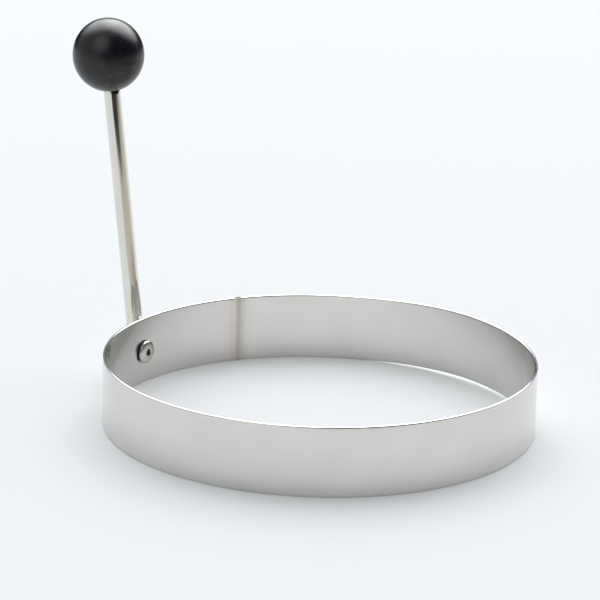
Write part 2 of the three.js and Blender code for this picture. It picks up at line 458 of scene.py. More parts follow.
@dataclass(frozen=True)
class WeldedStrip(Metal):
    """Rolled strip whose weld has left heat colours beside the seam, and a painted dark line of shade at the
    bead.
    """

    # Distance clockwise from the seam and colour of each band: the heat colours, and a painted dark line of
    # shade.
    heat_and_shade_mm: tuple[tuple[float, str], ...] = ()
    reach_mm: float = 6.0  # how far the heat colours and the painted shade reach

    def colour(self, tree: bpy.types.NodeTree, blotch: bpy.types.NodeSocket) -> bpy.types.NodeSocket:
        """Mixes the heat colours and the painted dark line of shade over the strip's own, by the distance
        from the seam.

        Args:
            tree: the material's nodes.
            blotch: the patches.

        Returns:
            The colour.
        """
        plain = super().colour(tree, blotch)
        far = add(tree, "ShaderNodeAttribute", {"attribute_name": "seam_mm"}).outputs["Fac"]
        reach = {"From Min": -self.reach_mm, "From Max": self.reach_mm}
        share = add(tree, "ShaderNodeMapRange", reach, {"Value": far}).outputs["Result"]
        stops = [(0.5 + distance / self.reach_mm / 2, hex_colour) for distance, hex_colour in self.heat_and_shade_mm]
        # Heat colours from the weld, and a painted dark line of shade close to the seam.
        heat_and_shade_ramp = add(tree, "ShaderNodeValToRGB", {"stops": stops}, {"Fac": share}).outputs["Color"]
        multiply = {"data_type": "RGBA", "blend_type": "MULTIPLY", "Factor": 1.0}
        colours = {MIX_UNDER: plain, MIX_OVER: heat_and_shade_ramp}
        return add(tree, "ShaderNodeMix", multiply, colours).outputs[MIX_RESULT]


@dataclass(frozen=True)
class Moulding:
    """A moulded thermoset: black, closed and satin, with a faint ripple and handling marks."""

    name: str  # the plastic and how it was made
    colour: str
    dust: str  # the colour of the fine dust and rub marks on it
    roughness: float
    ripple_mm: float  # the size of the skin's ripple
    relief_mm: float  # the ripple's depth
    mark_mm: float  # the size of the rub marks
    ior: float  # the resin's index of refraction
    dust_span: tuple[float, float] = (0.55, 0.85)  # the levels of the marks between which the dust comes in
    polish: float = 0.05  # how much smoother the skin is where it is clean
    wear: float = 0.06  # how much rougher it is at the marks

    def material(self) -> bpy.types.Material:
        """Makes the finish's material.

        Noise in the size of the rub marks moves the colour and the roughness, and finer noise the relief.

        Returns:
            The material.
        """
        made, tree, shader = blank(self.name)
        shader.inputs["IOR"].default_value = self.ior
        place = add(tree, "ShaderNodeTexCoord").outputs["Object"]
        marked = {"Scale": 1 / (self.mark_mm * MM), "Detail": 6.0, "Roughness": 0.65}
        marks = add(tree, "ShaderNodeTexNoise", marked, {"Vector": place}).outputs["Fac"]
        stops = tuple(zip(self.dust_span, (self.colour, self.dust)))
        colour = add(tree, "ShaderNodeValToRGB", {"stops": stops}, {"Fac": marks}).outputs["Color"]
        levels = {
            "From Min": NOISE_LOW,
            "From Max": NOISE_HIGH,
            "To Min": self.roughness - self.polish,
            "To Max": self.roughness + self.wear,
        }
        rough = add(tree, "ShaderNodeMapRange", levels, {"Value": marks}).outputs["Result"]
        rippled = {"Scale": 1 / (self.ripple_mm * MM), "Detail": 2.0}
        ripple = add(tree, "ShaderNodeTexNoise", rippled, {"Vector": place}).outputs["Fac"]
        depth = {"Strength": 1.0, "Distance": self.relief_mm * MM}
        relief = add(tree, "ShaderNodeBump", depth, {"Height": ripple}).outputs["Normal"]
        feed(tree, shader, {"Base Color": colour, "Roughness": rough, "Normal": relief})
        return made


# Straw and brown heat colours across the weld, with a painted dark line of shade near its middle, where the
# bead's undercut would be shaded.
SEAM_HEAT_AND_PAINTED_SHADE = (
    (-6.0, "#ffffff"),
    (-3.4, "#fbf9f6"),
    (-2.0, "#f1eee9"),
    (-1.1, "#f8f5f0"),
    (-0.6, "#efeae4"),
    (-0.1, "#e0dbd4"),
    (0.3, "#dfdad3"),
    (0.9, "#e3dfd9"),
    (1.8, "#e9e6e0"),
    (2.6, "#f1efea"),
    (3.5, "#faf9f6"),
    (6.0, "#ffffff"),
)

# Stainless strip, cold rolled and satin finished along its length: pale neutral grey, soft reflections.
STRIP = WeldedStrip(
    name="stainless_strip_satin_rolled",
    light="#dcdbd8",
    dark="#d7d5d1",
    roughness=0.17,
    spread=0.04,
    grain_mm=(2.4, 0.5, 1.0),
    blotch_mm=16.0,
    relief_mm=0.002,
    # The seam's heat colours and its painted line of shade.
    heat_and_shade_mm=SEAM_HEAT_AND_PAINTED_SHADE,
)

# Butt weld, planished and brushed back: a little duller than the strip, with the same heat colours and
# painted line of shade.
WELD = WeldedStrip(
    name="stainless_weld_planished",
    light="#dbd9d5",
    dark="#d2cfc9",
    roughness=0.24,
    spread=0.06,
    grain_mm=(2.5, 0.4, 1.0),
    blotch_mm=3.0,
    relief_mm=0.004,
    heat_and_shade_mm=SEAM_HEAT_AND_PAINTED_SHADE,
)

# Stainless blind rivet, cold headed and tumbled: a soft sheen, with faint turned marks.
RIVET = Metal(
    name="stainless_rivet_cold_headed",
    light="#d9d7d3",
    dark="#c4c1bb",
    roughness=0.34,
    spread=0.06,
    grain_mm=(6.0, 0.35, 1.0),
    blotch_mm=3.0,
    relief_mm=0.004,
)

# Steel mandrel, snapped off: dark, rough fracture.
MANDREL = Metal(
    name="steel_mandrel_snapped",
    light="#6d6a68",
    dark="#454341",
    roughness=0.5,
    spread=0.1,
    grain_mm=(0.4, 0.4, 0.4),
    blotch_mm=1.0,
    relief_mm=0.03,
    pattern=Pattern.PLACE,
)

# Stainless washers, stamped from sheet: tumbled and a little dull.
WASHER = Metal(
    name="stainless_washer_stamped",
    light="#cbc9c4",
    dark="#aeaba5",
    roughness=0.33,
    spread=0.08,
    grain_mm=(5.0, 0.4, 1.0),
    blotch_mm=2.5,
    relief_mm=0.006,
)

# Stainless rod, drawn and left satin: fine lengthwise lines, a slightly warm pale grey.
ROD = Metal(
    name="stainless_rod_drawn",
    light="#e1e0d9",
    dark="#dad9d1",
    roughness=0.09,
    spread=0.025,
    grain_mm=(0.5, 25.0, 1.0),
    blotch_mm=9.0,
    relief_mm=0.0015,
)

# Brass bush, turned on a lathe: fine rings round the axis.
BUSH = Metal(
    name="brass_bush_turned",
    light="#c9a45a",
    dark="#a8823f",
    roughness=0.3,
    spread=0.06,
    grain_mm=(8.0, 0.25, 1.0),
    blotch_mm=3.0,
    relief_mm=0.008,
)

# Black phenolic, compression moulded and tumbled: satin skin with a soft wide highlight.
PHENOLIC = Moulding(
    name="phenolic_black_moulded",
    colour="#101217",
    dust="#25272b",
    roughness=0.27,
    ripple_mm=1.6,
    relief_mm=0.003,
    mark_mm=4.0,
    ior=1.46,
)


# Pieces


def fit(
    mesh: bpy.types.Mesh, node: str, body: Body, material: bpy.types.Material
) -> bpy.types.Object:
    """Puts a finished mesh into the scene in place of its CAD node.

    Args:
        mesh: the piece's mesh, in the frame.
        node: the CAD node that it stands for, whose name it takes with "_finish" added.
        body: the body that it moves with.
        material: its finish.

    Returns:
        The new object.
    """
    piece = put(f"{node}_finish", mesh)
    mesh.name = piece.name
    mesh.materials.clear()
    mesh.materials.append(material)
    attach(piece, body.value)
    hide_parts(node)
    LOG.info("%s: %d faces, on body %s", piece.name, len(mesh.polygons), body.value)
    return piece


def box_mm(node: str) -> tuple[np.ndarray, np.ndarray]:
    """Gives a CAD node's lowest and highest corners in millimetres."""
    low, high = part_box(node)
    return np.array(low) / MM, np.array(high) / MM


@dataclass
class Hoop:
    """The rolled band and its weld."""

    thickness: float = 1.0
    edge: float = 0.45  # the rounding of the strip's deburred edges
    seam_deg: float = 34.0  # the weld's place, as an angle from the handle
    weld_width: float = 2.4
    weld_crown: float = 0.05  # how far the bead stands proud of both faces
    ripple: float = 0.012  # the depth of the bead's ripples
    ripple_step: float = 1.3  # the spacing of the bead's ripples
    weld_lap: float = 0.05  # how far the bead laps over each end of the strip
    weld_steps: int = 17  # how many points the bead has across each face
    weld_rows: int = 120  # how many rows it has up the seam
    hole: float = 2.4  # the radius of the rivet's hole
    drill_reach: float = 8.0  # how far the drill starts and ends from the strip
    section_step: float = 0.8  # the largest step round the strip's section
    spring: float = 1.1  # how far the strip springs clear of the floor at its highest
    tuck: float = 0.7  # how far it lies inwards at the same place
    spring_deg: float = 72.0  # that place, as an angle from the +X side
    spring_half_deg: float = 46.0  # half the stretch that springs
    flare: float = 0.55  # how far the strip lies outwards beside the spring
    flare_deg: float = 38.0  # the middle of the outward stretch
    flare_half_deg: float = 36.0  # half the outward stretch
    columns: int = 540  # how many steps the band has round its turn

    def __post_init__(self) -> None:
        """Takes the band's radius, height and axis from its CAD node."""
        low, high = box_mm("ring_band")
        self.radius = (high[1] - low[1]) / 2
        self.height = high[2] - low[2]
        self.axis = np.array([(low[0] + high[0]) / 2, 0.0, low[2]])
        self.seam = math.pi - math.radians(self.seam_deg)

    def build(self) -> None:
        """Makes and dresses the band and its weld."""
        fit(self.band(), "ring_band", Body.RING, STRIP.material())
        fit(self.weld(), "seam_weld", Body.RING, WELD.material())

    def on_hoop(self, radius: np.ndarray, angle: np.ndarray, height: np.ndarray) -> np.ndarray:
        """Places points by radius, angle and height: (r cos a, r sin a, h) from the band's axis."""
        parts = np.broadcast_arrays(radius * np.cos(angle), radius * np.sin(angle), height)
        return np.stack(parts, axis=2) + self.axis

    def band(self) -> bpy.types.Mesh:
        """Carries the strip's rounded rectangular section round the hoop, from the weld back to the weld.

        Where the hoop has sprung, raised cosines move the section: up and in at one place, out beside it.

        Returns:
            The band's mesh, with the rivet's hole and the distance from the seam as an attribute.
        """
        inner = self.radius - self.thickness
        corners = [(inner, 0.0), (self.radius, 0.0), (self.radius, self.height), (inner, self.height)]
        section = rounded_outline([(*corner, self.edge) for corner in corners])
        section = filled(section, self.section_step)
        half_gap = self.weld_width / 2 / self.radius
        angle = np.linspace(half_gap, TAU - half_gap, self.columns)
        lifted = self.eased(self.seam + angle, self.spring_deg, self.spring_half_deg)
        outwards = self.eased(self.seam + angle, self.flare_deg, self.flare_half_deg)
        radius = section[:, :1] - self.tuck * lifted + self.flare * outwards
        height = section[:, 1:] + self.spring * lifted
        surface = Surface(
            points=self.on_hoop(radius, self.seam + angle, height),
            rows_close=True,
            row_map=lengths_along(section, closed=True),
            column_map=angle * self.radius,
        )
        start = Vector((self.axis[0] - inner + self.drill_reach, 0.0, PIVOT[2]))
        end = Vector((self.axis[0] - self.radius - self.drill_reach, 0.0, PIVOT[2]))
        mesh = drilled(surface.mesh(), start, end, self.hole)
        self.mark_seam(mesh)
        return mesh

    def eased(self, angle: np.ndarray, middle_deg: float, half_deg: float) -> np.ndarray:
        """Gives a raised cosine: one at a middle angle, and nothing from half a width to each side of it."""
        off = (angle - math.radians(middle_deg) + math.pi) % TAU - math.pi
        return (1 + np.cos(math.pi * np.clip(off / math.radians(half_deg), -1, 1))) / 2

    def mark_seam(self, mesh: bpy.types.Mesh) -> None:
        """Stores each vertex's distance from the weld's middle, clockwise round the hoop, in millimetres.

        Args:
            mesh: the mesh to mark.
        """
        places = np.zeros(len(mesh.vertices) * 3, np.float32)
        mesh.vertices.foreach_get("co", places)
        own = places.reshape(-1, 3) / MM - self.axis
        turn = np.arctan2(own[:, 1], own[:, 0]) - self.seam
        distance = -((turn + math.pi) % TAU - math.pi) * self.radius
        mark = mesh.attributes.new("seam_mm", "FLOAT", "POINT")
        mark.data.foreach_set("value", distance.astype(np.float32))

    def weld(self) -> bpy.types.Mesh:
        """Carries a crowned section up the seam: each face bulges as one minus the place across squared.

        The crown rises and falls along the seam as a sine, for the bead's ripples.

        Returns:
            The weld's mesh.
        """
        across = np.linspace(-1, 1, self.weld_steps)
        half = self.weld_width / 2 + self.weld_lap
        inner = self.radius - self.thickness
        spread = np.concatenate([across, across[::-1]]) * half / self.radius
        face = np.repeat([self.radius, inner], self.weld_steps)
        crown = np.concatenate([1 - across**2, across[::-1] ** 2 - 1])
        height = np.linspace(0.0, self.height, self.weld_rows)
        rise = self.weld_crown + self.ripple * np.sin(TAU * height / self.ripple_step)
        radius = face[None, :] + crown[None, :] * rise[:, None]
        surface = Surface(
            points=self.on_hoop(radius, self.seam + spread[None, :], height[:, None]),
            columns_close=True,
            row_map=height,
            column_map=np.linspace(0, 4 * half, 2 * self.weld_steps + 1),
        )
        mesh = surface.mesh()
        self.mark_seam(mesh)
        return mesh


@dataclass
class Pivot:
    """The blind rivet and the washers that the handle turns between."""

    shank: float = 2.1  # the rivet shank's radius
    bore: float = 1.25  # the radius of the rivet's bore
    head_edge: float = 0.15  # the height of the head's straight rim
    # The power of the head's round shoulder, where 2 is an ellipse and more is flatter.
    squareness: float = 2.6
    hollow: float = 0.5  # how far the head's underside rises from its seat to its rim, as a cone
    rim: float = 0.15  # the rounding of small edges
    head_height: float = 1.7
    tail: float = 3.3  # the swollen tail's radius
    tail_length: float = 2.6
    lip: float = 0.1  # how far inside the head's top its bore ends
    play: float = 0.3  # the washers' clearance round the shank
    stem: float = 0.95  # the mandrel stem's radius
    stem_break: float = 0.1  # how far the broken stem's middle stands proud
    stem_head: float = 1.6  # the length of the mandrel's round head
    tail_steps: int = 20
    stem_steps: int = 14
    dome_steps: int = 28
    columns: int = 96

    def __post_init__(self) -> None:
        """Works out where the turned pieces' own axes lie."""
        self.place = Matrix.Translation((0.0, 0.0, PIVOT[2])) @ Matrix.Rotation(math.radians(-90), 4, "Y")

    def span(self, node: str) -> tuple[float, float, float]:
        """Gives a turned piece's inner and outer places along the pivot's axis, outwards, and its radius."""
        low, high = box_mm(node)
        return -high[0], -low[0], (high[2] - low[2]) / 2

    def build(self) -> None:
        """Makes and dresses the rivet, its mandrel and both washers."""
        stamped = WASHER.material()
        fit(self.rivet().mesh(), "rivet_body", Body.RING, RIVET.material())
        fit(self.mandrel().mesh(), "rivet_mandrel", Body.RING, MANDREL.material())
        for node in ("spacer_washer", "backing_washer"):
            fit(self.washer(node).mesh(), node, Body.RING, stamped)

    def washer(self, node: str) -> Surface:
        """Turns a rectangle with rounded corners about the pivot's axis.

        Args:
            node: the washer's CAD node.

        Returns:
            The washer's surface.
        """
        start, end, radius = self.span(node)
        inner = self.shank + self.play
        corners = [(inner, start), (radius, start), (radius, end), (inner, end)]
        outline = rounded_outline([(*corner, self.rim) for corner in corners])
        return turned(outline, self.place, self.columns, True)

    def rivet(self) -> Surface:
        """Turns the rivet's outline: a flattened dome, its hollow underside, the shank and a swollen tail.

        The dome is a superellipse: its radius and height follow a sine and a cosine to the same power.

        Returns:
            The rivet's surface.
        """
        start, end, radius = self.span("rivet_body")
        seat = start + self.head_height
        tail_start = end - self.tail_length
        power = 2 / self.squareness
        first = math.asin(((self.bore + self.rim) / radius) ** (1 / power))
        dome = np.linspace(first, math.pi / 2, self.dome_steps)
        edge = seat - self.hollow
        shoulder = edge - self.head_edge
        rise = np.cos(dome).clip(0) ** power / math.cos(first) ** power
        head = np.stack([radius * np.sin(dome) ** power, shoulder - (shoulder - start) * rise], axis=1)
        swell = np.linspace(0, math.pi, self.tail_steps)
        tail = np.stack(
            [
                self.shank + (self.tail - self.shank) * np.sin(swell),
                tail_start + (end - tail_start) * (1 - np.cos(swell)) / 2,
            ],
            axis=1,
        )
        # The last of these corners only gives the first one's rounding its direction.
        bored = [(self.bore, end, self.rim), (self.bore, start + self.lip, 0.0), (self.shank, end, 0.0)]
        bore = rounded_outline(bored, steps=4)[:-1]
        under = [[radius, edge], [self.shank + 2 * self.rim, seat], [self.shank, seat]]
        outline = np.concatenate([head, under, tail, bore])
        return turned(outline, self.place, self.columns, True)

    def mandrel(self) -> Surface:
        """Turns the mandrel's outline: the broken stem, then the round head that swelled the tail.

        Returns:
            The mandrel's surface.
        """
        start, end, radius = self.span("rivet_mandrel")
        head_start = end - self.stem_head
        round_end = np.linspace(0, math.pi / 2, self.stem_steps)
        along = head_start + self.stem_head * np.sin(round_end)
        head = np.stack([radius * np.cos(round_end), along], axis=1)
        head[-1, 0] = 0.0
        stem = [[0.0, start], [self.stem, start + self.stem_break], [self.stem, head_start]]
        outline = np.concatenate([stem, head])
        return turned(outline, self.place, self.columns, False)


@dataclass
class Handle:
    """The rod with its flattened eye, and the ball knob with its bush."""

    rod: float = 3.0  # a radius, as are the stud, the bush, its waist and the hole
    eye_thickness: float = 3.0
    eye_middle: float = 3.1  # the eye's middle plane, from the band's outer wall
    flat_reach: float = 5.05  # how far above the pivot the eye stays flat
    flare: float = 6.0  # the length over which it becomes round
    bend: float = 1.55  # half the length of the bend
    lean_deg: float = 7.45  # how far the rod leans outwards
    knob_at: float = 108.85  # the knob's centre, along the rod from the pivot
    knob_width: float = 25.69
    knob_height: float = 26.44  # the ball's height along the rod
    knob_flat: float = 3.7  # the radius of the flat round the rod
    socket: float = 1.5  # how far the rod's full width goes into the knob
    stud: float = 2.0
    stud_length: float = 8.0
    gap: float = 0.3  # the clearance inside the knob
    # How far below the shoulder and inside the rod's radius its rounded edge's points lie.
    shoulder_edge: tuple[tuple[float, float], ...] = ((0.4, 0.0), (0.12, 0.08), (0.0, 0.3))
    stud_chamfer: float = 0.5
    bush_radius: float = 4.0
    bush_length: float = 10.0
    bush_edge: float = 0.2
    waist: float = 3.4
    waist_span: tuple[float, float] = (3.5, 6.5)  # where the waist starts and ends along the bush
    waist_edge: float = 0.1  # the rounding of the waist's corners
    lip: float = 0.2  # the chamfer where the rod enters the knob
    hole: float = 2.4
    drill_reach: float = 4.0  # how far past the eye's thickness the drill starts and ends
    flat_power: int = 8  # the power that flattens the eye, higher for sharper edges
    press_power: float = 0.7  # the power by which the flattening fades along the rod
    end_rows: int = 22  # how many rows the eye's round end has
    flare_rows: int = 25
    plain_rows: int = 34
    sides: int = 72  # how many steps the rod and the bush have round their turn
    knob_rows: int = 96  # how many points the ball's outline has
    knob_sides: int = 128  # how many steps the ball has round its turn

    def __post_init__(self) -> None:
        """Works out the rod's directions and the places along it."""
        low, high = box_mm("handle_rod")
        band_low, _ = box_mm("ring_band")
        self.eye = (high[1] - low[1]) / 2
        self.pivot = np.array([band_low[0] - self.eye_middle, 0.0, PIVOT[2]])
        lean = math.radians(self.lean_deg)
        self.up = np.array([0.0, 0.0, 1.0])
        self.lean = np.array([-math.sin(lean), 0.0, math.cos(lean)])
        self.corner = self.flat_reach + self.bend
        self.flat_at = -self.knob_height / 2 * math.sqrt(1 - (2 * self.knob_flat / self.knob_width) ** 2)
        self.shoulder = self.knob_at + self.flat_at + self.socket

    def axis(self, along: np.ndarray) -> tuple[np.ndarray, np.ndarray]:
        """Follows the rod's axis: upright, then a parabolic bend, then straight along the lean.

        Args:
            along: distances from the pivot, measured over the bend's corner.

        Returns:
            The points and the unit directions there.
        """
        past = along - self.corner
        share = np.clip((past + self.bend) / (2 * self.bend), 0, 1)
        upright = np.minimum(past + self.bend, 0) - self.bend * (1 - share) ** 2
        leaning = np.maximum(past - self.bend, 0) + self.bend * share**2
        corner = self.pivot + self.up * self.corner
        points = corner + upright[:, None] * self.up + leaning[:, None] * self.lean
        direction = (1 - share)[:, None] * self.up + share[:, None] * self.lean
        return points, direction / np.linalg.norm(direction, axis=1, keepdims=True)

    def build(self) -> None:
        """Makes and dresses the rod, the bush and the knob."""
        fit(self.rod_mesh(), "handle_rod", Body.HANDLE, ROD.material())
        fit(self.bush().mesh(), "knob_bush", Body.HANDLE, BUSH.material())
        fit(self.ball().mesh(), "ball_knob", Body.HANDLE, PHENOLIC.material())

    def rod_mesh(self) -> bpy.types.Mesh:
        """Carries a section along the rod's axis: a circle of the half width, flattened softly to the eye.

        A point at x through the metal moves to x / (1 + |x k|^n)^(1/n), which flattens it at a distance 1/k,
        where n is the flattening power. Below the pivot the half width follows a circle, so that the eye's
        end is round.

        Returns:
            The rod's mesh, with its hole.
        """
        end = np.linspace(0, math.pi / 2, self.end_rows)
        flare = np.linspace(0, 1, self.flare_rows)
        ease = flare * flare * (3 - 2 * flare)
        (edge_start, _), *edge = self.shoulder_edge
        plain_start = self.flat_reach + self.flare
        plain = np.linspace(plain_start, self.shoulder - edge_start, self.plain_rows)[1:]
        stud_end = self.shoulder + self.stud_length
        tip = np.array(
            [
                *((self.shoulder - below, self.rod - inside) for below, inside in edge),
                (self.shoulder, self.stud),
                (stud_end - self.stud_chamfer, self.stud),
                (stud_end, self.stud - self.stud_chamfer),
                (stud_end, 0.0),
            ]
        )
        eye = -self.eye * np.cos(end)
        along = np.concatenate([eye, self.flat_reach + self.flare * flare, plain, tip[:, 0]])
        neck = self.eye + (self.rod - self.eye) * ease
        width = np.concatenate([self.eye * np.sin(end), neck, np.full(len(plain), self.rod), tip[:, 1]])
        fading = (1 - ease) ** self.press_power
        press = np.concatenate([np.ones(len(end)), fading, np.zeros(len(plain) + len(tip))])
        press *= 2 / self.eye_thickness
        turn = np.linspace(0, TAU, self.sides, endpoint=False)
        through = width[:, None] * np.cos(turn)
        squashed = 1 + np.abs(through * press[:, None]) ** self.flat_power
        through = through / squashed ** (1 / self.flat_power)
        spread = width[:, None] * np.sin(turn)
        points, direction = self.axis(along)
        outward = np.stack([-direction[:, 2], 0 * along, direction[:, 0]], axis=1)
        points = points[:, None] + through[:, :, None] * outward[:, None]
        points = points + spread[:, :, None] * np.array([0.0, 1.0, 0.0])
        surface = Surface(
            points=points,
            columns_close=True,
            row_map=along,
            column_map=np.linspace(0, TAU * self.rod, self.sides + 1),
        )
        reach = Vector((self.eye_thickness + self.drill_reach, 0.0, 0.0))
        middle = Vector(self.pivot)
        return drilled(surface.mesh(), middle - reach, middle + reach, self.hole)

    def knob_place(self) -> Matrix:
        """Gives the knob's own axes: its centre on the rod, its Z along the lean."""
        centre, _ = self.axis(np.array([self.knob_at]))
        return Matrix.Translation(centre[0]) @ Matrix.Rotation(-math.radians(self.lean_deg), 4, "Y")

    def bush(self) -> Surface:
        """Turns the bush's outline: a sleeve with a waist that the moulding grips.

        Returns:
            The bush's surface.
        """
        start = self.flat_at + self.socket + self.gap
        inner = self.stud + self.gap
        end = start + self.bush_length
        waist_start, waist_end = (start + place for place in self.waist_span)
        corners = [
            (inner, start, self.bush_edge),
            (self.bush_radius, start, self.bush_edge),
            (self.bush_radius, waist_start, self.waist_edge),
            (self.waist, waist_start, self.waist_edge),
            (self.waist, waist_end, self.waist_edge),
            (self.bush_radius, waist_end, self.waist_edge),
            (self.bush_radius, end, self.bush_edge),
            (inner, end, self.bush_edge),
        ]
        return turned(rounded_outline(corners, steps=3), self.knob_place(), self.sides, True)

    def ball(self) -> Surface:
        """Turns the ball's outline: the bush's cavity, the rod's socket, a small flat, then an ellipse.

        Returns:
            The ball's surface.
        """
        cavity = self.bush_radius + self.gap
        socket = self.rod + self.gap
        floor = self.flat_at + self.socket
        roof = floor + self.bush_length + 2 * self.gap
        bored = [[0.0, roof], [cavity, roof], [cavity, floor], [socket, floor]]
        inside = np.array([*bored, [socket, self.flat_at + self.lip], [socket + self.lip, self.flat_at]])
        start = math.asin(2 * self.knob_flat / self.knob_width)
        round_part = np.linspace(start, math.pi, self.knob_rows)
        outside = np.stack(
            [self.knob_width / 2 * np.sin(round_part), -self.knob_height / 2 * np.cos(round_part)], axis=1
        )
        outside[-1, 0] = 0.0
        return turned(np.concatenate([inside, outside]), self.knob_place(), self.knob_sides, False)


# Stage


@dataclass(frozen=True)
class RoomPart:
    """A part of the room, by its direction from the object."""

    right_deg: float  # its middle's bearing, from straight behind the object towards the right
    height_deg: float  # its middle's height above the floor

    def way(self) -> Vector:
        """Gives its direction in the photograph's axes: (sin b cos h, cos b cos h, sin h).

        Returns:
            The unit direction, for the bearing b and the height h.
        """
        right = math.radians(self.right_deg)
        height = math.radians(self.height_deg)
        level = math.cos(height)
        return Vector((math.sin(right) * level, math.cos(right) * level, math.sin(height)))


@dataclass(frozen=True)
class SoftLamp(RoomPart):
    """A wide round soft lamp, far enough away to light the whole floor almost evenly."""

    half_deg: float  # half its width, as seen from the object
    distance: float  # how far away it stands, in millimetres
    radiance: float  # how bright its face is


@dataclass(frozen=True)
class Patch(RoomPart):
    """A soft round part of the room, as only mirrors see it."""

    core_deg: float  # how far from its middle it keeps its level
    reach_deg: float  # how far from its middle it fades out
    inside: float  # the light that it adds at its middle
    outside: float = 0.0  # the light that it adds beyond its reach


# The lamp high behind the object, whose shadows fall towards the camera.
KEY = SoftLamp(right_deg=3.0, height_deg=54.0, half_deg=36.0, distance=6000.0, radiance=1.36)

# The room's unlit end, at the right of the camera: the dark front of the ball.
UNLIT = Patch(right_deg=130.0, height_deg=3.0, core_deg=40.0, reach_deg=90.0, inside=0.0, outside=0.55)

# Painted highlights that only mirrors see, standing for the hot middle of the lamp's cloth, in two halves:
# the bright arch on the ball and the white rims.
GLOW_LEFT = Patch(right_deg=-24.0, height_deg=50.0, core_deg=12.0, reach_deg=40.0, inside=2.7)
GLOW_RIGHT = Patch(right_deg=34.0, height_deg=48.0, core_deg=12.0, reach_deg=42.0, inside=4.6)

# Painted reflection that only mirrors see, standing for a pale window at the left of the camera: the faint
# second light on the ball.
PAINTED_WINDOW = Patch(right_deg=-153.0, height_deg=42.0, core_deg=8.0, reach_deg=33.0, inside=0.9)


@dataclass(frozen=True)
class Sheet:
    """A flat sheet that only mirrors see."""

    name: str
    colour: str
    # Its plan, in millimetres, in the photograph's axes from the band's middle. Two points are an upright
    # sheet that stands on the floor, and more are a flat one.
    outline: tuple[tuple[float, float], ...]
    top: float  # the height of its highest part

    def corners(self) -> list[Vector]:
        """Gives its corners: the outline at its top, and for an upright sheet its foot first.

        Returns:
            The corners, in order.
        """
        upper = [Vector((*point, self.top)) for point in self.outline]
        if len(self.outline) > 2:
            return upper
        return [Vector((*point, 0.0)) for point in self.outline] + upper[::-1]


# Painted reflection: a dark sheet that only mirrors see, standing for the dark drop beyond the table's front
# edge, for the dark line in the rod.
PAINTED_DARK_FLAG = Sheet(
    name="flag_painted_reflection",
    colour="#272625",
    outline=((-215.0, -800.0), (5000.0, -2750.0)),
    top=150.0,
)

# Painted reflection: a dark sheet that only mirrors see, standing for the dim foot of the wall behind, for
# the dark lines at both ends of the rims.
PAINTED_DARK_BACK = Sheet(
    name="back",
    colour="#2c2c2c",
    outline=((-1900.0, 1250.0), (1900.0, 1250.0)),
    top=600.0,
)

# Painted reflection: a dim sheet that only mirrors see, standing for a part of the table just right of the
# picture, seen in the rod's lower end and low on the ball.
PAINTED_DIM_NEAR = Sheet(
    name="near_table_painted_reflection",
    colour="#b9afa3",
    outline=(
        (82.0, -217.0),
        (192.0, -407.0),
        (489.0, -347.0),
        (589.0, -133.0),
        (490.0, 92.0),
        (181.0, 65.0),
        (196.0, 20.0),
        (169.0, -123.0),
    ),
    top=1.0,
)

# Painted reflection: a dim sheet that only mirrors see, standing for the table's dimmer front right part,
# seen in the rod's right half.
PAINTED_DIM_TABLE = Sheet(
    name="table",
    colour="#d8d2ca",
    outline=(
        (-130.0, -230.0),
        (-130.0, -790.0),
        (3900.0, -2290.0),
        (3900.0, 1500.0),
        (300.0, 60.0),
        (200.0, -114.0),
    ),
    top=0.5,
)


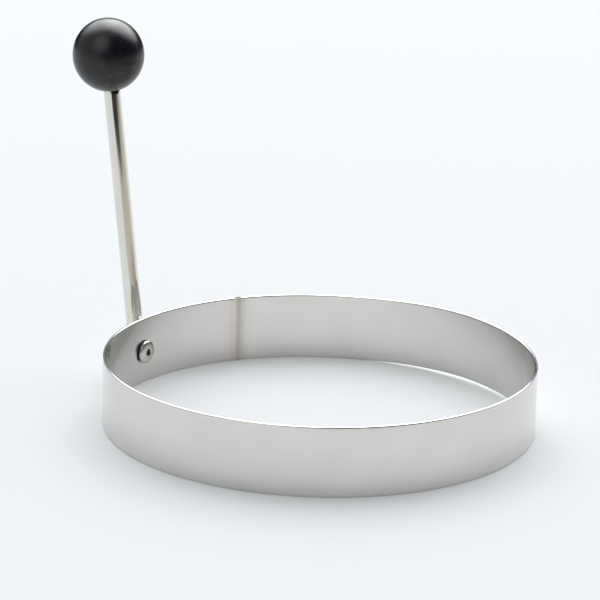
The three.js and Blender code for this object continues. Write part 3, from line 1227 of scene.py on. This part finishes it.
@dataclass
class Studio:
    """Floor, light and camera, set up in the photograph's axes: X right, Y away from the camera, Z up."""

    middle: np.ndarray  # where the photograph's axes start, in millimetres
    bearing_deg: float = 31.9  # the photograph's axes turn by this much about Z into the frame's
    # The camera's place from the band's middle, in the photograph's axes.
    camera_mm: tuple[float, float, float] = (-7.52, -1002.56, 345.85)
    pitch_deg: float = 16.71  # how far the camera looks down
    roll_deg: float = 1.63  # how far the camera is turned about its own line of sight
    lens_mm: float = 180.0  # the lens, for a sensor of the given width
    sensor_mm: float = 36.0
    clip_m: tuple[float, float] = (0.01, 50.0)  # the nearest and farthest that the camera sees, in metres
    backdrop: str = "#fcfdfd"  # the room's colour
    floor_colour: str = "#f4f7f9"
    floor_size: float = 8000.0  # in millimetres
    fill: float = 0.63  # how bright the room is for matt surfaces
    patches: tuple[Patch, ...] = (UNLIT, GLOW_LEFT, GLOW_RIGHT, PAINTED_WINDOW)  # how bright the room is in mirrors
    sheets: tuple[Sheet, ...] = (PAINTED_DARK_FLAG, PAINTED_DARK_BACK, PAINTED_DIM_NEAR, PAINTED_DIM_TABLE)  # the sheets that only mirrors see
    key: SoftLamp = KEY

    def __post_init__(self) -> None:
        """Works out the photograph's axes in the frame."""
        self.turn = Matrix.Rotation(math.radians(self.bearing_deg), 4, "Z")
        self.place = Matrix.Translation(Vector(self.middle) * MM) @ self.turn

    def build(self) -> None:
        """Makes the camera, floor, sheets, room light and lamp."""
        self.camera()
        self.floor()
        for sheet in self.sheets:
            self.mirrored(sheet)
        self.room()
        self.lamp()
        bpy.context.scene.view_settings.view_transform = "Standard"

    def camera(self) -> None:
        """Makes the camera at the photograph's viewpoint."""
        data = bpy.data.cameras.new("photo_camera")
        data.lens = self.lens_mm
        data.sensor_width = self.sensor_mm
        data.clip_start, data.clip_end = self.clip_m
        camera = put("photo_camera", data)
        look = Matrix.Rotation(math.radians(90 - self.pitch_deg), 4, "X")
        roll = Matrix.Rotation(math.radians(self.roll_deg), 4, "Z")
        camera.matrix_world = self.place @ Matrix.Translation(Vector(self.camera_mm) * MM) @ look @ roll
        bpy.context.scene.camera = camera

    def flat(self, name: str, corners: list[Vector], hex_colour: str) -> bpy.types.Object:
        """Makes one flat sheet that belongs to the stage.

        Args:
            name: the sheet's name.
            corners: its corners, in metres.
            hex_colour: its colour.

        Returns:
            The sheet.
        """
        mesh = bpy.data.meshes.new(name)
        mesh.from_pydata(corners, [], [tuple(range(len(corners)))])
        sheet = put(name, mesh)
        paper, _, shader = blank(f"matt_{name}")
        shader.inputs["Base Color"].default_value = linear(hex_colour)
        shader.inputs["Roughness"].default_value = 1.0
        shader.inputs["Specular IOR Level"].default_value = 0.0
        mesh.materials.append(paper)
        return sheet

    def floor(self) -> None:
        """Makes the pale matt floor."""
        half = self.floor_size * MM / 2
        corners = [Vector((x * half, y * half, 0)) for x, y in ((-1, -1), (1, -1), (1, 1), (-1, 1))]
        self.flat("floor", corners, self.floor_colour)

    def mirrored(self, sheet: Sheet) -> None:
        """Makes one sheet that only mirrors see.

        Args:
            sheet: the sheet.
        """
        corners = [self.place @ (corner * MM) for corner in sheet.corners()]
        made = self.flat(sheet.name, corners, sheet.colour)
        for ray in ("camera", "diffuse", "transmission", "shadow"):
            setattr(made, f"visible_{ray}", False)

    def mirrored_level(self, tree: bpy.types.NodeTree) -> bpy.types.NodeSocket:
        """Adds up the room's patches: each follows the cosine of the angle from its middle, with soft ends.

        Args:
            tree: the world's nodes.

        Returns:
            The room's level in mirrors.
        """
        way = add(tree, "ShaderNodeTexCoord").outputs["Generated"]
        level = None
        for patch in self.patches:
            middle = self.turn.to_3x3() @ patch.way()
            facing = add(tree, "ShaderNodeVectorMath", {"operation": "DOT_PRODUCT", 1: middle}, {0: way})
            levels = {
                "interpolation_type": "SMOOTHSTEP",
                "From Min": math.cos(math.radians(patch.reach_deg)),
                "From Max": math.cos(math.radians(patch.core_deg)),
                "To Min": patch.outside,
                "To Max": patch.inside,
            }
            near = {"Value": facing.outputs["Value"]}
            part = add(tree, "ShaderNodeMapRange", levels, near).outputs["Result"]
            if level is None:
                level = part
            else:
                level = add(tree, "ShaderNodeMath", {"operation": "ADD"}, {0: level, 1: part}).outputs[0]
        return level

    def room(self) -> None:
        """Makes the room's light: white to the camera, even on matt surfaces, the patches in mirrors."""
        world = bpy.data.worlds.new("studio")
        bpy.context.scene.world = world
        world.use_nodes = True
        tree = world.node_tree
        ray = add(tree, "ShaderNodeLightPath").outputs
        either = {0: ray["Is Glossy Ray"], 1: ray["Is Transmission Ray"]}
        seen = add(tree, "ShaderNodeMath", {"operation": "MAXIMUM"}, either).outputs[0]
        inputs = {"Value": seen, "To Max": self.mirrored_level(tree)}
        lit = add(tree, "ShaderNodeMapRange", {"To Min": self.fill}, inputs).outputs["Result"]
        inputs = {"Value": ray["Is Camera Ray"], "To Min": lit}
        strength = add(tree, "ShaderNodeMapRange", {"To Max": 1.0}, inputs).outputs["Result"]
        background = tree.nodes["Background"]
        background.inputs["Color"].default_value = linear(self.backdrop)
        feed(tree, background, {"Strength": strength})

    def lamp(self) -> None:
        """Makes the soft lamp, which faces the band's middle from its bearing and height."""
        data = bpy.data.lights.new("key", "AREA")
        data.shape = "DISK"
        radius = self.key.distance * math.tan(math.radians(self.key.half_deg)) * MM
        data.size = 2 * radius
        data.energy = self.key.radiance * math.pi * math.pi * radius**2
        lamp = put("key", data)
        way = self.key.way()
        face = way.to_track_quat("Z", "Y").to_matrix().to_4x4()
        lamp.matrix_world = self.place @ Matrix.Translation(way * self.key.distance * MM) @ face


def main() -> None:
    """Builds the stage and each sub-assembly in order."""
    logging.basicConfig(level=logging.INFO, format="%(name)s %(message)s")
    hoop = Hoop()
    Studio(middle=hoop.axis).build()
    for assembly in (hoop, Pivot(), Handle()):
        assembly.build()


if __name__ == "__main__":
    main()
